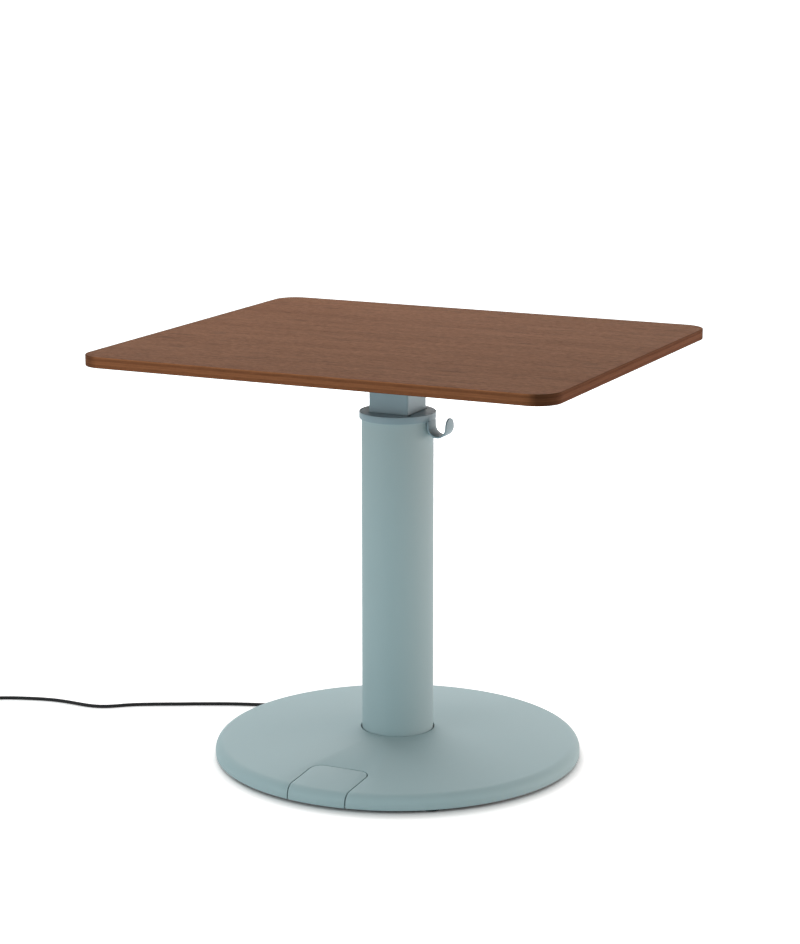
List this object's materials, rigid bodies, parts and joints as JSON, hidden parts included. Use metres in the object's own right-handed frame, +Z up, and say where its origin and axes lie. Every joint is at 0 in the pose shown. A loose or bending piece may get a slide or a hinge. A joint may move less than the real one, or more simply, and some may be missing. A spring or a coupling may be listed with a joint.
{
  "type": "standing desk",
  "caption": "Sit-stand pedestal desk: rectangular wooden top on a square lifting tube in a round column, round domed base with a foot pedal, bag hook and mains cord.",
  "frame": {"origin": "on the floor, under the middle of the tabletop", "axes": "+X to the right seen from the pedal's side, +Y to the back away from the pedal, +Z up"},
  "size_m": [1.2226, 0.7, 0.69],
  "materials": {
    "coated_metal": "matt dusty blue powder coat",
    "coated_dark": "matt dusty blue powder coat, a shade darker",
    "wood": "satin lacquered brown wood, straight grain",
    "ballast": "dark primer",
    "steel": "zinc plated",
    "dark_steel": "black coat",
    "alloy": "die cast, as made",
    "bronze": "machined bronze",
    "guide_plastic": "black slide plastic",
    "black_plastic": "fine textured black",
    "glide_plastic": "black",
    "black_rubber": "matt black",
    "cord_jacket": "satin black cord jacket",
    "board_green": "green circuit board"
  },
  "bodies": {
    "base": {"base_cover": "coated_metal", "ballast_plate": "ballast", "cover_screws": "steel", "glides": "glide_plastic", "glide_screws": "steel", "foot_flange": "steel", "foot_bolts": "steel", "column_tube": "coated_metal", "collar": "coated_dark", "upper_guide": "guide_plastic", "upper_guide_screws": "steel", "bag_hook": "coated_dark", "stop_buffers": "black_rubber", "drive_motor": "dark_steel", "motor_gearbox": "alloy", "motor_bolts": "steel", "bearing_housing": "alloy", "housing_screws": "steel", "bearing_outer_ring": "steel", "bearing_balls": "steel", "bearing_retainer": "dark_steel", "control_case": "black_plastic", "control_lid": "black_plastic", "control_board": "board_green", "case_screws": "steel", "small_screws": "steel", "motor_lead": "cord_jacket", "sensor_lead": "cord_jacket", "sensor_board": "board_green", "pedal_bracket": "steel", "pedal_pin": "steel", "pin_clips": "dark_steel", "pedal_springs": "steel", "cord_relief": "cord_jacket", "mains_cord": "cord_jacket", "cord_coil": "cord_jacket", "cord_tie": "cord_jacket", "plug_body": "cord_jacket", "plug_pins": "steel", "plug_earth_clips": "steel"},
    "lift": {"inner_tube": "coated_dark", "lower_guide": "guide_plastic", "lower_guide_screws": "steel", "spindle_nut": "bronze", "nut_screws": "steel", "nut_carrier": "alloy", "carrier_screws": "steel", "top_spider": "coated_dark", "hub_screws": "dark_steel", "top_screws": "dark_steel", "top_inserts": "bronze", "tabletop": "wood"},
    "spindle": {"lead_screw": "steel", "gearbox_shaft": "steel", "drive_pin": "steel", "bearing_inner_ring": "steel", "journal_clip": "dark_steel", "screw_stop": "dark_steel"},
    "pedal": {"foot_pedal": "coated_metal", "pedal_magnet": "steel"}
  },
  "joints": [
    {"name": "lift_slide", "type": "slide", "parent": "base", "child": "lift", "axis": [0, 0, 1], "range_m": [0, 0.4]},
    {"name": "screw_spin", "type": "hinge", "parent": "base", "child": "spindle", "pos_m": [0, -0.021, 0.3], "axis": [0, 0, 1], "range_deg": [-9000, 0]},
    {"name": "pedal_tilt", "type": "hinge", "parent": "base", "child": "pedal", "pos_m": [0, -0.25, 0.0232], "axis": [1, 0, 0], "range_deg": [-3, 3], "stiffness_Nm_per_rad": 20, "springref_deg": -0.21, "deforming": ["pedal_springs"]}
  ],
  "couplings": [
    {"joint": "screw_spin", "follows": "lift_slide", "rad_per_m": -392.7}
  ]
}
